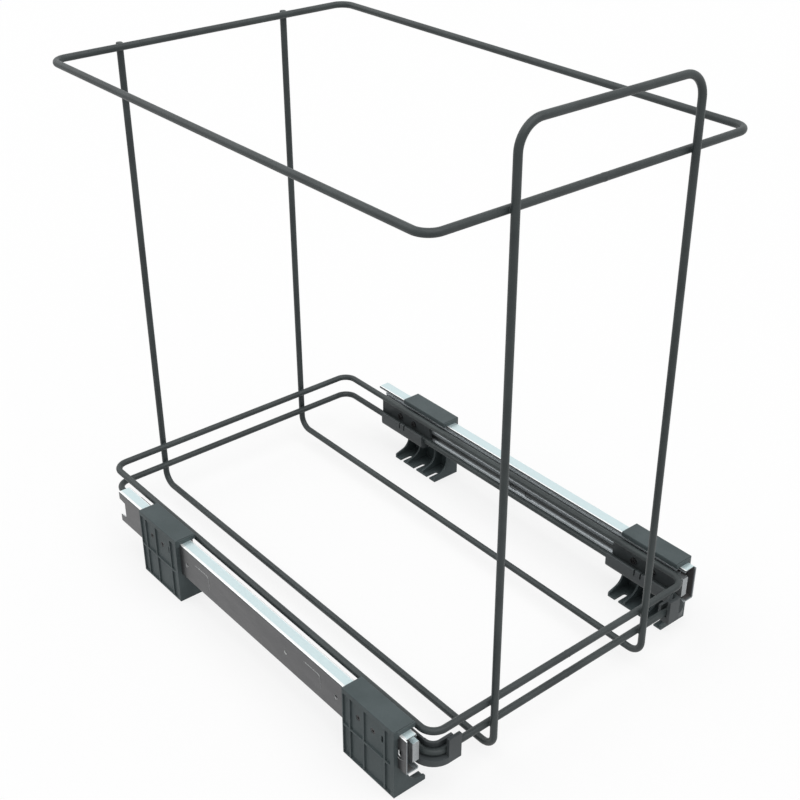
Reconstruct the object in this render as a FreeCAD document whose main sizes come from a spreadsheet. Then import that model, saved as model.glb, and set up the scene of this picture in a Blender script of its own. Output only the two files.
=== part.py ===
import FreeCAD, Part
import math
import os
import Sketcher

# Cabinet waste sorter: a wire basket for two bins on a pair of ball bearing slides.
# X runs across the cabinet, Y runs from the handle to the back, Z is up from the cabinet floor.
# The origin is on the floor, under the middle of the whole object.

doc = FreeCAD.newDocument("waste_sorter")

# Driving sizes in millimetres, each with its alias in the sheet

SIZES = [
    ("wire_diameter", 6.4, "coated steel wire"),
    ("weld_sink", 0.2, "how far two welded wires sink into each other"),
    ("ring_depth", 498.2, "front to rear wire of every ring, centre to centre"),
    ("rim_width", 320.0, "top rim, centre to centre"),
    ("rim_height", 483.2, "top rim wire above the floor"),
    ("base_width", 302.4, "base rings, centre to centre"),
    ("upper_base_height", 62.4, "upper base ring above the floor"),
    ("lower_base_height", 40.1, "lower base ring above the floor"),
    ("base_forward", 2.85, "how far the base rings sit in front of the rim"),
    ("ring_bend", 13.5, "centreline bend radius of the rings"),
    ("handle_width", 179.2, "handle uprights, centre to centre"),
    ("handle_rise", 59.0, "handle bar above the rim wire"),
    ("handle_bend", 20.3, "centreline bend radius under the handle bar"),
    ("foot_run_height", 15.7, "bin support runs above the floor"),
    ("foot_bend", 13.5, "centreline bend radius of the bin support runs"),
    ("rear_rise", 2.7, "rear uprights above the rim wire"),
    ("slide_span", 345.8, "outer faces of the two slides"),
    ("slide_height", 35.3, "height of the fixed slide profile"),
    ("slide_centre", 48.25, "slide centre above the floor"),
    ("slide_length", 445.0, "fixed slide profile"),
    ("slide_setback", 2.0, "front end of the slide behind the rim wire"),
    ("slide_flange", 12.7, "width of the fixed profile"),
    ("slide_thickness", 14.8, "fixed web to the moving web"),
    ("slide_sheet", 1.2, "sheet of the fixed and moving profiles"),
    ("slide_corner", 1.3, "outer corner radius of the fixed profile"),
    ("slide_lip", 2.5, "turned-in lip of the fixed profile"),
    ("top_flange_setback", 2.2, "top flange of the fixed profile behind its web, at the front end"),
    ("middle_sheet", 1.0, "sheet of the middle profile"),
    ("middle_setback", 12.0, "middle profile behind the front end of the slide"),
    ("middle_length", 422.0, "middle profile"),
    ("middle_lip", 2.4, "turned-in lip of the middle profile"),
    ("middle_corner", 1.3, "outer corner radius of the middle profile"),
    ("middle_lip_sink", 0.3, "middle lip farther out than the fixed lip"),
    ("moving_setback", 10.0, "moving profile behind the front end of the slide"),
    ("moving_length", 424.0, "moving profile"),
    ("moving_flange_setback", 10.0, "flanges of the moving profile behind its web, at the front end"),
    ("ball_gap", 2.5, "between two profiles, where the balls run"),
    ("ball_diameter", 2.9, "bearing ball"),
    ("ball_clearance", 0.05, "between a ball and its track"),
    ("inner_ball_shift", 1.6, "inner ball rows farther out than the outer rows"),
    ("web_gap", 1.1, "between the fixed web and the middle web"),
    ("moving_gap", 1.2, "between the moving flange and the middle web"),
    ("cage_sheet", 0.5, "sheet of a ball cage"),
    ("cage_gap", 0.4, "between the edge of a cage and a lip"),
    ("cage_margin", 12.0, "ball cage to the profile ends when pulled out"),
    ("ball_pitch", 10.0, "between balls in a group"),
    ("ball_end", 8.0, "first ball from the end of its cage"),
    ("travel", 440.0, "full pull-out"),
    ("bead_low", 2.2, "bead in the moving web, nearer edge from the centre"),
    ("bead_high", 9.0, "bead in the moving web, farther edge from the centre"),
    ("bead_slope", 1.4, "height of a bead's sloping sides"),
    ("bead_depth", 1.3, "depth of a bead"),
    ("bead_round", 0.8, "rounded edges of a bead"),
    ("notch_depth", 10.0, "cut in the rear end of the fixed web"),
    ("notch_rise", 8.3, "top of that cut above the slide centre, at its floor"),
    ("notch_drop", 7.7, "bottom of that cut under the slide centre, at its floor"),
    ("notch_flare", 1.2, "how much wider the cut is at its mouth, each way"),
    ("dish_place", 8.0, "round dish behind the front end of the slide"),
    ("dish_diameter", 12.0, "round dish in the fixed web"),
    ("dish_depth", 0.4, "depth of that dish"),
    ("dish_slot_width", 3.4, "slot in the dish, along the slide"),
    ("dish_slot_height", 6.4, "slot in the dish, upright"),
    ("first_pad_place", 111.0, "first raised pad behind the front end of the slide"),
    ("second_pad_place", 282.0, "second raised pad behind the front end of the slide"),
    ("pad_length", 25.0, "raised pad along the slide"),
    ("pad_height", 17.0, "raised pad, upright"),
    ("pad_corner", 4.0, "corner radius of a raised pad"),
    ("pad_depth", 0.3, "how far a pad is pressed out of the web"),
    ("web_hole", 4.2, "spare holes in the fixed web"),
    ("first_hole_place", 90.0, "first spare hole behind the front end of the slide"),
    ("second_hole_place", 161.0, "second spare hole behind the front end of the slide"),
    ("third_hole_place", 320.0, "third spare hole behind the front end of the slide"),
    ("first_tab_place", 189.0, "first punched tab behind the front end of the moving profile"),
    ("second_tab_place", 211.0, "second punched tab behind the front end of the moving profile"),
    ("tab_length", 9.0, "punched tab along the moving profile"),
    ("tab_height", 5.0, "punched tab, upright"),
    ("tab_drop", 5.6, "middle of a punched tab under the slide centre"),
    ("tab_slot", 0.8, "cut round a punched tab"),
    ("block_width", 6.4, "end block across the slide"),
    ("block_height", 19.8, "end block, upright"),
    ("block_bottom", 37.4, "underside of an end block above the floor"),
    ("block_setback", 2.0, "end block behind the front end of the slide"),
    ("block_corner", 0.4, "corner radius of an end block"),
    ("plug_length", 8.0, "plug of an end block in the moving profile"),
    ("bracket_length", 66.0, "mounting bracket along the slide"),
    ("bracket_outside", 177.2, "outer face of a bracket from the middle"),
    ("bracket_foot", 33.0, "depth of a bracket's foot"),
    ("bracket_fit", 0.1, "between the bracket and the slide"),
    ("bracket_cover", 4.9, "cover over the slide"),
    ("cover_reach", 21.2, "width of the cover"),
    ("cover_nose", 1.2, "cover in front of the wall"),
    ("nose_height", 7.6, "height of the nose in front of the wall"),
    ("nose_bevel", 3.6, "bevel on the nose's outer corner"),
    ("bracket_round", 1.0, "rounded edges of a bracket"),
    ("bracket_seat", 3.0, "seat plate under the slide"),
    ("seat_reach", 14.7, "width of the seat"),
    ("foot_plate", 2.2, "thickness of the foot"),
    ("foot_tip", 5.0, "height of a rib at the tip of the foot"),
    ("foot_rise", 10.1, "height of a rib's sloping edge where it meets the seat"),
    ("foot_round", 1.5, "rounded edge at the tip of the foot"),
    ("rib_curve", 13.0, "hollow curve of a rib"),
    ("rib_thickness", 2.0, "ribs at the ends of the foot and between the slots"),
    ("rib_pitch", 24.8, "between the two middle ribs"),
    ("rib_root", 5.0, "wall left behind the hollows between the ribs"),
    ("slot_width", 4.8, "screw slot in the foot"),
    ("slot_depth", 14.6, "screw slot from the tip of the foot"),
    ("slot_pitch", 22.0, "between two screw slots"),
    ("pocket_depth", 1.4, "pockets in the outer face, between raised ribs"),
    ("wall_rib", 1.8, "raised ribs between the pockets"),
    ("front_rim", 4.0, "outer face in front of the pockets"),
    ("rear_rim", 1.2, "outer face behind the pockets"),
    ("bottom_rim", 1.5, "outer face under the pockets"),
    ("first_wall_rib", 11.9, "first upright rib from the front of a bracket"),
    ("second_wall_rib", 38.5, "second upright rib from the front of a bracket"),
    ("third_wall_rib", 56.4, "third upright rib from the front of a bracket"),
    ("cross_rib_height", 32.5, "level rib above the floor"),
    ("wall_slot_place", 15.7, "slot in the wall from the front of a bracket"),
    ("wall_slot_width", 2.4, "slot in the wall, along the slide"),
    ("wall_slot_height", 7.0, "slot in the wall, upright"),
    ("front_bracket_setback", 10.0, "front bracket behind the front end of the slide"),
    ("bracket_spacing", 321.2, "front bracket to rear bracket"),
    ("bracket_screw", 3.2, "screw through the bracket into the slide"),
    ("bracket_screw_head", 5.6, "head of that screw"),
    ("first_screw_place", 27.5, "first bracket screw from the front of a bracket"),
    ("second_screw_place", 46.5, "second bracket screw from the front of a bracket"),
    ("screw_height", 51.5, "bracket screws above the floor"),
    ("screw_clearance", 0.1, "around a screw"),
    ("head_depth", 1.4, "height of a bracket screw's head"),
    ("head_sink", 0.2, "how far that head lies under the floor of the pockets"),
    ("recess_width", 1.2, "bars of the cross recess in a screw head"),
    ("recess_depth", 1.0, "depth of the cross recess"),
    ("channel_fit", 0.2, "between a carrier and the wire in it"),
    ("channel_wall", 2.6, "wall of a carrier"),
    ("channel_top", 46.4, "top of a carrier's inner wall"),
    ("channel_base", 30.6, "underside of the carriers above the floor"),
    ("channel_round", 1.0, "rounded edges of a carrier"),
    ("plate_fit", 0.1, "between a carrier and the moving profile"),
    ("plate_top", 58.0, "top of a carrier's back plate"),
    ("front_carrier_end", 86.0, "rear end of a front carrier behind the rim wire"),
    ("corner_reach", 125.2, "inner end of a front carrier from the middle"),
    ("end_plate_width", 13.2, "end plate of a front carrier"),
    ("end_plate_top", 55.0, "top of that end plate"),
    ("rear_carrier_start", 357.0, "front end of a rear carrier's channel behind the rim wire"),
    ("rear_carrier_length", 68.0, "channel of a rear carrier"),
    ("rear_plate_nose", 2.8, "back plate of a rear carrier in front of its channel"),
    ("rear_plate_tail", 9.5, "back plate of a rear carrier behind its channel"),
    ("front_tongue_place", 46.7, "snap tongue of a front carrier behind the rim wire"),
    ("rear_tongue_place", 390.4, "snap tongue of a rear carrier behind the rim wire"),
    ("tongue_width", 5.7, "snap tongue in a carrier's inner wall"),
    ("tongue_slot", 1.8, "slots beside the tongue"),
    ("catch_reach", 1.3, "how far the tongue reaches over the wire"),
    ("catch_height", 0.9, "thickness of the tongue's catch at its tip"),
    ("carrier_screw", 3.4, "screw through a carrier into the moving profile"),
    ("carrier_screw_head", 6.8, "head of that screw"),
    ("carrier_head_depth", 1.5, "height of that head"),
    ("first_carrier_screw", 10.0, "first screw of a carrier in front of its snap tongue"),
    ("second_carrier_screw", 12.8, "second screw of a carrier behind its snap tongue"),
]

sheet = doc.addObject("Spreadsheet::Sheet", "Sizes")
for row, (alias, number, meaning) in enumerate(SIZES, start=1):
    sheet.set(f"A{row}", alias.replace("_", " "))
    sheet.set(f"B{row}", str(number))
    sheet.set(f"C{row}", meaning)
    sheet.setAlias(f"B{row}", alias)
doc.recompute()


class Size:
    """A length that carries its number and the sheet expression that it comes from."""

    def __init__(self, number, text):
        self.number = number
        self.text = text

    def __add__(self, other):
        other = as_size(other)
        return Size(self.number + other.number, f"({self.text} + {other.text})")

    def __sub__(self, other):
        other = as_size(other)
        return Size(self.number - other.number, f"({self.text} - {other.text})")

    def __mul__(self, other):
        other = as_size(other)
        return Size(self.number * other.number, f"({self.text} * {other.text})")

    def __truediv__(self, other):
        other = as_size(other)
        return Size(self.number / other.number, f"({self.text} / {other.text})")

    def __neg__(self):
        return self * -1

    def __rsub__(self, other):
        return as_size(other) - self

    __radd__ = __add__
    __rmul__ = __mul__


def as_size(value):
    """A plain number as a Size, so that sums of both work."""
    if isinstance(value, Size):
        return value
    return Size(float(value), f"({float(value)})")


class Sheet:
    """The cells of the sheet, each read by its alias."""

    def __getattr__(self, alias):
        return Size(float(sheet.get(alias)), f"Sizes.{alias}")


size = Sheet()

LEFT = -1
RIGHT = 1
SIDES = [("left", LEFT), ("right", RIGHT)]

# Places worked out from the driving sizes, in front to back distances from the rim's front wire

wire = size.wire_diameter / 2
weld_reach = size.wire_diameter - size.weld_sink
base_middle = (size.upper_base_height + size.lower_base_height) / 2


def upright_place(height):
    """The front uprights at a height: they lean, because the base rings sit in front of the rim."""
    lean = size.base_forward * (size.rim_height - height) / (size.rim_height - base_middle)
    return -1 * weld_reach - lean


uprights_apart = size.ring_depth + 2 * weld_reach
rear_top = size.rim_height + size.rear_rise
handle_top = size.rim_height + size.handle_rise
front_limit = upright_place(size.foot_run_height + size.foot_bend) - wire
rear_limit = upright_place(rear_top) + uprights_apart + wire
middle_depth = (front_limit + rear_limit) / 2

slide_front = size.slide_setback
fixed_face = size.slide_span / 2
fixed_half = size.slide_height / 2
fixed_inside = fixed_half - size.slide_sheet
middle_half = fixed_inside - size.ball_gap
middle_inside = middle_half - size.middle_sheet
moving_half = middle_inside - size.ball_gap
middle_face = fixed_face - size.slide_sheet - size.web_gap
moving_face = fixed_face - size.slide_thickness
flange_end = middle_face - size.middle_sheet - size.moving_gap
fixed_lip_face = fixed_face - size.slide_flange
middle_lip_face = fixed_lip_face + size.middle_lip_sink
punch_run = size.slide_sheet + size.bead_depth + 1

middle_front = slide_front + size.middle_setback
middle_rear = middle_front + size.middle_length
moving_front = slide_front + size.moving_setback
moving_rear = moving_front + size.moving_length
cage_length = middle_rear - size.travel / 2 - slide_front - 2 * size.cage_margin
outer_cage_front = slide_front + size.cage_margin + size.travel / 4
inner_cage_play = (moving_rear - size.travel / 2 - middle_front - cage_length) / 2
inner_cage_front = middle_front + inner_cage_play + size.travel / 4
outer_ball_height = fixed_inside - size.ball_gap / 2
inner_ball_height = middle_inside - size.ball_gap / 2
outer_ball_place = fixed_lip_face + size.slide_sheet + size.ball_diameter
inner_ball_place = outer_ball_place + size.inner_ball_shift
track_radius = size.ball_diameter / 2 + size.ball_clearance

bracket_front = {
    "front": slide_front + size.front_bracket_setback,
    "rear": slide_front + size.front_bracket_setback + size.bracket_spacing,
}
bracket_wall_face = fixed_face + size.bracket_fit
pocket_floor = size.bracket_outside - size.pocket_depth
head_seat = pocket_floor - size.head_sink - size.head_depth
screw_places = [size.first_screw_place, size.second_screw_place]


# Small helpers for bodies, sketches and features


def new_body(label, start=0):
    """A body whose own zero along Y lies at a distance behind the rim's front wire."""
    body = doc.addObject("PartDesign::Body", label)
    body.Label = label
    place(body, start)
    return body


def place(item, start=0):
    """Sets an item's place along the depth of the object."""
    item.Placement = FreeCAD.Placement()
    item.setExpression("Placement.Base.y", (as_size(start) - middle_depth).text)


def span(side, near, far):
    """The low and high X of a stretch that is given by its distances from the middle."""
    if side == RIGHT:
        return as_size(near), as_size(far)
    return -as_size(far), -as_size(near)


def sketch_on(body, plane_role, offset, name):
    """A sketch on one of the body's own origin planes, moved along the plane's axis."""
    sketch = body.newObject("Sketcher::SketchObject", name)
    plane = next(item for item in body.Origin.OriginFeatures if item.Role == plane_role)
    sketch.AttachmentSupport = [(plane, "")]
    sketch.MapMode = "FlatFace"
    direction = -1 if plane_role == "XZ_Plane" else 1
    sketch.setExpression("AttachmentOffset.Base.z", (as_size(offset) * direction).text)
    return sketch


def tie_point(sketch, geometry, x, y):
    """Ties a point of the sketch to its two distances from the sketch's origin."""
    for kind, value in (("DistanceX", x), ("DistanceY", y)):
        tie = sketch.addConstraint(Sketcher.Constraint(kind, -1, 1, geometry, 1, value.number))
        sketch.setExpression(f"Constraints[{tie}]", value.text)


def rounded_corner(before, corner, after, radius):
    """Where a round corner leaves its two runs, its centre, and whether it turns left."""
    back = (before - corner).normalize()
    ahead = (after - corner).normalize()
    half_angle = back.getAngle(ahead) / 2
    run = radius / math.tan(half_angle)
    centre = corner + (back + ahead).normalize() * (radius / math.sin(half_angle))
    turns_left = (corner - before).cross(after - corner).z > 0
    return corner + back * run, corner + ahead * run, centre, turns_left


def draw_outline(sketch, corners):
    """A closed outline through corners (x, y) or (x, y, radius), all tied to the sheet."""
    corners = [tuple(as_size(value) for value in corner) for corner in corners]
    points = [FreeCAD.Vector(corner[0].number, corner[1].number, 0) for corner in corners]
    count = len(corners)
    rounds = {}
    for index, corner in enumerate(corners):
        if len(corner) == 3:
            rounds[index] = rounded_corner(
                points[index - 1], points[index], points[(index + 1) % count], corner[2].number)
    first = sketch.GeometryCount
    for index in range(count):
        following = (index + 1) % count
        start = rounds[index][1] if index in rounds else points[index]
        end = rounds[following][0] if following in rounds else points[following]
        sketch.addGeometry(Part.LineSegment(start, end), False)
    for index, corner in enumerate(corners):
        line_in = first + (index - 1) % count
        line_out = first + index
        if index not in rounds:
            sketch.addConstraint(Sketcher.Constraint("Coincident", line_in, 2, line_out, 1))
            tie_point(sketch, line_out, corner[0], corner[1])
            continue
        leave, arrive, centre, turns_left = rounds[index]
        begin, finish = (leave, arrive) if turns_left else (arrive, leave)
        angles = [math.atan2(point.y - centre.y, point.x - centre.x) for point in (begin, finish)]
        circle = Part.Circle(centre, FreeCAD.Vector(0, 0, 1), corner[2].number)
        arc = sketch.addGeometry(Part.ArcOfCircle(circle, angles[0], angles[1]), False)
        peg = sketch.addGeometry(Part.Point(points[index]), True)
        first_end, last_end = (1, 2) if turns_left else (2, 1)
        sketch.addConstraint(Sketcher.Constraint("Tangent", line_in, 2, arc, first_end))
        sketch.addConstraint(Sketcher.Constraint("Tangent", arc, last_end, line_out, 1))
        sketch.addConstraint(Sketcher.Constraint("PointOnObject", peg, 1, line_in))
        sketch.addConstraint(Sketcher.Constraint("PointOnObject", peg, 1, line_out))
        tie_point(sketch, peg, corner[0], corner[1])
        bend = sketch.addConstraint(Sketcher.Constraint("Radius", arc, corner[2].number))
        sketch.setExpression(f"Constraints[{bend}]", corner[2].text)


def draw_circle(sketch, x, y, radius):
    """A circle tied to the sheet by its centre and its radius."""
    x, y, radius = as_size(x), as_size(y), as_size(radius)
    circle = Part.Circle(FreeCAD.Vector(x.number, y.number, 0), FreeCAD.Vector(0, 0, 1), radius.number)
    geometry = sketch.addGeometry(circle, False)
    for kind, value in (("DistanceX", x), ("DistanceY", y)):
        tie = sketch.addConstraint(Sketcher.Constraint(kind, -1, 1, geometry, 3, value.number))
        sketch.setExpression(f"Constraints[{tie}]", value.text)
    bend = sketch.addConstraint(Sketcher.Constraint("Radius", geometry, radius.number))
    sketch.setExpression(f"Constraints[{bend}]", radius.text)


def prism(body, name, plane_role, low, high, outlines=(), circles=(), cut=False):
    """Pads or cuts flat shapes between two places along the plane's axis."""
    low, high = as_size(low), as_size(high)
    sketch = sketch_on(body, plane_role, (low + high) / 2, name + "_sketch")
    for corners in outlines:
        draw_outline(sketch, corners)
    for circle in circles:
        draw_circle(sketch, *circle)
    feature = body.newObject("PartDesign::Pocket" if cut else "PartDesign::Pad", name)
    feature.Profile = sketch
    feature.SideType = "Symmetric"
    feature.setExpression("Length", (high - low).text)
    sketch.Visibility = False
    return feature


def rectangle(x_low, x_high, y_low, y_high, radius=None):
    """The corners of a rectangle, round if a radius is given."""
    corners = [(x_low, y_low), (x_high, y_low), (x_high, y_high), (x_low, y_high)]
    if radius is None:
        return corners
    return [corner + (radius,) for corner in corners]


# Wire basket: three bent rings and the handle frame, welded where they cross


def wire_ring(label, width, height, front):
    """A closed ring of bent wire, butt welded in the middle of its front side."""
    body = new_body(label)
    half = width / 2
    rear = front + size.ring_depth
    path = sketch_on(body, "XY_Plane", height, label + "_path")
    draw_outline(path, [
        (0, front),
        (half, front, size.ring_bend),
        (half, rear, size.ring_bend),
        (-half, rear, size.ring_bend),
        (-half, front, size.ring_bend),
    ])
    section = sketch_on(body, "YZ_Plane", 0, label + "_section")
    draw_circle(section, front, height, wire)
    pipe = body.newObject("PartDesign::AdditivePipe", label + "_wire")
    pipe.Profile = section
    pipe.Spine = path
    return body


def bent_wire(points, radii, wire_radius):
    """A solid wire through points in space, with tangent arcs at the inner points."""
    edges = []
    start = points[0]
    for before, corner, after, radius in zip(points, points[1:], points[2:], radii):
        leave, arrive, centre, _ = rounded_corner(before, corner, after, radius)
        crown = centre + (corner - centre).normalize() * radius
        edges.append(Part.LineSegment(start, leave).toShape())
        edges.append(Part.Arc(leave, crown, arrive).toShape())
        start = arrive
    edges.append(Part.LineSegment(start, points[-1]).toShape())
    first_run = points[1] - points[0]
    section = Part.Wire([Part.makeCircle(wire_radius, points[0], first_run)])
    return Part.Wire(edges).makePipeShell([section], True, False)


def handle_frame(label):
    """The handle, the uprights and the two bin support runs are one bent wire."""
    half = size.handle_width.number / 2
    apart = uprights_apart.number
    foot = size.foot_run_height
    corners = [
        (-half, upright_place(rear_top).number + apart, rear_top.number),
        (-half, upright_place(foot).number + apart, foot.number),
        (-half, upright_place(foot).number, foot.number),
        (-half, upright_place(handle_top).number, handle_top.number),
        (half, upright_place(handle_top).number, handle_top.number),
        (half, upright_place(foot).number, foot.number),
        (half, upright_place(foot).number + apart, foot.number),
        (half, upright_place(rear_top).number + apart, rear_top.number),
    ]
    foot_bend = size.foot_bend.number
    handle_bend = size.handle_bend.number
    radii = [foot_bend, foot_bend, handle_bend, handle_bend, foot_bend, foot_bend]
    feature = doc.addObject("Part::Feature", label)
    feature.Label = label
    feature.Shape = bent_wire([FreeCAD.Vector(*corner) for corner in corners], radii, wire.number)
    place(feature)
    return feature


# Ball bearing slides: three nested steel profiles with two cages of balls between them


def channel_outline(side, face, end, half, sheet_gauge, lip, corner):
    """A channel that is open towards the middle of the object, with turned-in lips."""
    centre = size.slide_centre
    shape = []
    for up in (1, -1):
        outside = [
            (end, half - lip),
            (end, half, corner),
            (face, half, corner),
        ]
        stretch = [(side * point[0], centre + up * point[1]) + point[2:] for point in outside]
        shape += stretch if up == 1 else stretch[::-1]
    for up in (-1, 1):
        inside = [
            (end + sheet_gauge, half - lip),
            (end + sheet_gauge, half - sheet_gauge, corner / 2),
            (face - sheet_gauge, half - sheet_gauge, corner / 2),
        ]
        stretch = [(side * point[0], centre + up * point[1]) + point[2:] for point in inside]
        shape += stretch if up == -1 else stretch[::-1]
    return shape


def ball_tracks(body, name, side, place_across, height, length):
    """Rolled tracks for one pair of ball rows, along the whole profile."""
    centres = [(side * place_across, size.slide_centre + up * height, track_radius) for up in (1, -1)]
    prism(body, name, "XZ_Plane", 0, length, circles=centres, cut=True)


def raised_pad(body, name, side, start):
    """A pad pressed outwards in the fixed web, hollow on its inner side."""
    edge = size.slide_sheet
    stop = start + size.pad_length
    bottom = size.slide_centre - size.pad_height / 2
    top = size.slide_centre + size.pad_height / 2
    face = fixed_face + size.pad_depth
    low, high = span(side, fixed_face - edge / 2, face)
    prism(body, name, "YZ_Plane", low, high, [rectangle(start, stop, bottom, top, size.pad_corner)])
    low, high = span(side, fixed_face - edge * 2, face - edge)
    prism(body, name + "_hollow", "YZ_Plane", low, high, [rectangle(
        start + edge, stop - edge, bottom + edge, top - edge, size.pad_corner - edge)], cut=True)


def fixed_profile(label, side):
    """The outer profile is screwed into the brackets. Its web faces the cabinet wall."""
    body = new_body(label, slide_front)
    prism(body, label + "_section", "XZ_Plane", 0, size.slide_length, [channel_outline(
        side, fixed_face, fixed_lip_face, fixed_half, size.slide_sheet, size.slide_lip, size.slide_corner)])
    ball_tracks(body, label + "_tracks", side, outer_ball_place, outer_ball_height, size.slide_length)
    through_web = span(side, fixed_face - size.slide_sheet * 3, fixed_face + size.slide_sheet)

    # The top flange starts behind the web
    low, high = span(side, fixed_lip_face - size.slide_sheet, fixed_face - size.slide_sheet)
    prism(body, label + "_front_notch", "YZ_Plane", low, high, [rectangle(
        -1 * size.slide_sheet, size.top_flange_setback,
        size.slide_centre, size.slide_centre + fixed_half + size.slide_sheet)], cut=True)

    # The rear end of the web is cut away, which leaves a hook at the bottom
    centre = size.slide_centre
    notch_floor = size.slide_length - size.notch_depth
    past_end = size.slide_length + 1
    prism(body, label + "_notch", "YZ_Plane", *through_web, [[
        (notch_floor, centre - size.notch_drop),
        (past_end, centre - size.notch_drop - size.notch_flare),
        (past_end, centre + size.notch_rise + size.notch_flare),
        (notch_floor, centre + size.notch_rise),
    ]], cut=True)

    # A shallow dish with a slot in it, two raised pads, and the holes in the web
    dish_low, dish_high = span(side, fixed_face - size.dish_depth, fixed_face + size.slide_sheet)
    prism(body, label + "_dish", "YZ_Plane", dish_low, dish_high,
          circles=[(size.dish_place, centre, size.dish_diameter / 2)], cut=True)
    raised_pad(body, label + "_first_pad", side, size.first_pad_place)
    raised_pad(body, label + "_second_pad", side, size.second_pad_place)
    bracket_holes = [
        (bracket_front[end] - slide_front + along, size.screw_height,
         size.bracket_screw / 2 + size.screw_clearance)
        for end in ("front", "rear") for along in screw_places
    ]
    spare_holes = [
        (along, centre, size.web_hole / 2)
        for along in (size.first_hole_place, size.second_hole_place, size.third_hole_place)
    ]
    prism(body, label + "_holes", "YZ_Plane", *through_web, circles=bracket_holes + spare_holes, cut=True)
    half_width = size.dish_slot_width / 2
    half_height = size.dish_slot_height / 2
    prism(body, label + "_slot", "YZ_Plane", *through_web, [rectangle(
        size.dish_place - half_width, size.dish_place + half_width,
        centre - half_height, centre + half_height, half_width - size.screw_clearance)], cut=True)
    return body


def middle_profile(label, side):
    """The middle profile moves half as far as the basket."""
    body = new_body(label, middle_front)
    prism(body, label + "_section", "XZ_Plane", 0, size.middle_length, [channel_outline(
        side, middle_face, middle_lip_face, middle_half,
        size.middle_sheet, size.middle_lip, size.middle_corner)])
    ball_tracks(body, label + "_outer_tracks", side, outer_ball_place, outer_ball_height, size.middle_length)
    ball_tracks(body, label + "_inner_tracks", side, inner_ball_place, inner_ball_height, size.middle_length)
    return body


def moving_outline(side):
    """The moving profile: a ridge along the middle of its web, between two beads."""
    gauge = size.slide_sheet
    bead_floor = moving_face + size.bead_depth
    bend = size.bead_round
    back_shift = gauge / 3
    upper_half = [
        (moving_face, size.bead_low, bend),
        (bead_floor, size.bead_low + size.bead_slope, bend),
        (bead_floor, size.bead_high - size.bead_slope, bend),
        (moving_face, size.bead_high, bend / 2),
        (moving_face, moving_half, bend),
        (flange_end, moving_half),
        (flange_end, moving_half - gauge),
        (bead_floor + gauge, moving_half - gauge),
        (bead_floor + gauge, size.bead_low + size.bead_slope - back_shift),
        (moving_face + gauge, size.bead_low - back_shift),
    ]
    shape = []
    for point in upper_half:
        shape.append((side * point[0], size.slide_centre + point[1]) + point[2:])
    for point in upper_half[::-1]:
        shape.append((side * point[0], size.slide_centre - point[1]) + point[2:])
    return shape


def punched_tab(body, name, side, start):
    """A slot round three sides frees a small tab in the lower bead."""
    stop = start + size.tab_length
    low = size.slide_centre - size.tab_drop - size.tab_height / 2
    high = low + size.tab_height
    cut = size.tab_slot
    x_low, x_high = span(side, moving_face - 1, moving_face + punch_run)
    prism(body, name, "YZ_Plane", x_low, x_high, [[
        (start, low), (stop, low), (stop, high), (start, high), (start, high - cut),
        (stop - cut, high - cut), (stop - cut, low + cut), (start, low + cut)]], cut=True)


carrier_spans = {
    "front": (size.ring_bend - size.base_forward, size.front_carrier_end),
    "rear": (size.rear_carrier_start, size.rear_carrier_start + size.rear_carrier_length),
}
tongue_places = {"front": size.front_tongue_place, "rear": size.rear_tongue_place}


def carrier_screw_places(end):
    """Where the two screws of a carrier are, behind the rim's front wire. They go through the web's ridge."""
    tongue = tongue_places[end]
    return [tongue - size.first_carrier_screw, tongue + size.second_carrier_screw]


def moving_profile(label, side):
    """The inner profile carries the basket. Its web faces the bins."""
    body = new_body(label, moving_front)
    prism(body, label + "_section", "XZ_Plane", 0, size.moving_length, [moving_outline(side)])
    ball_tracks(body, label + "_tracks", side, inner_ball_place, inner_ball_height, size.moving_length)
    low, high = span(side, moving_face + size.block_width, flange_end + 1)
    prism(body, label + "_trim", "YZ_Plane", low, high, [rectangle(
        -1 * size.slide_sheet, size.moving_flange_setback,
        size.slide_centre - fixed_half, size.slide_centre + fixed_half)], cut=True)
    low, high = span(side, moving_face - 1, moving_face + punch_run)
    holes = [
        (along - moving_front, size.slide_centre, size.carrier_screw / 2 + size.screw_clearance)
        for end in ("front", "rear") for along in carrier_screw_places(end)
    ]
    prism(body, label + "_holes", "YZ_Plane", low, high, circles=holes, cut=True)
    punched_tab(body, label + "_first_tab", side, size.first_tab_place)
    punched_tab(body, label + "_second_tab", side, size.second_tab_place)
    return body


def end_block(label, side):
    """A zinc block closes the front end of the moving profile. Its plug sits inside the profile."""
    body = new_body(label, slide_front)
    fit = size.bracket_fit
    back = size.moving_setback - fit
    low, high = span(side, moving_face, moving_face + size.block_width)
    prism(body, label + "_block", "XZ_Plane", size.block_setback, back, [rectangle(
        low, high, size.block_bottom, size.block_bottom + size.block_height, size.block_corner)])
    low, high = span(
        side, moving_face + size.bead_depth + size.slide_sheet + fit, moving_face + size.block_width)
    plug_bottom = size.slide_centre - moving_half + size.slide_sheet + fit
    plug_top = size.block_bottom + size.block_height - fit
    prism(body, label + "_plug", "XZ_Plane", back - fit, size.moving_setback + size.plug_length,
          [rectangle(low, high, plug_bottom, plug_top)])
    return body


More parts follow.
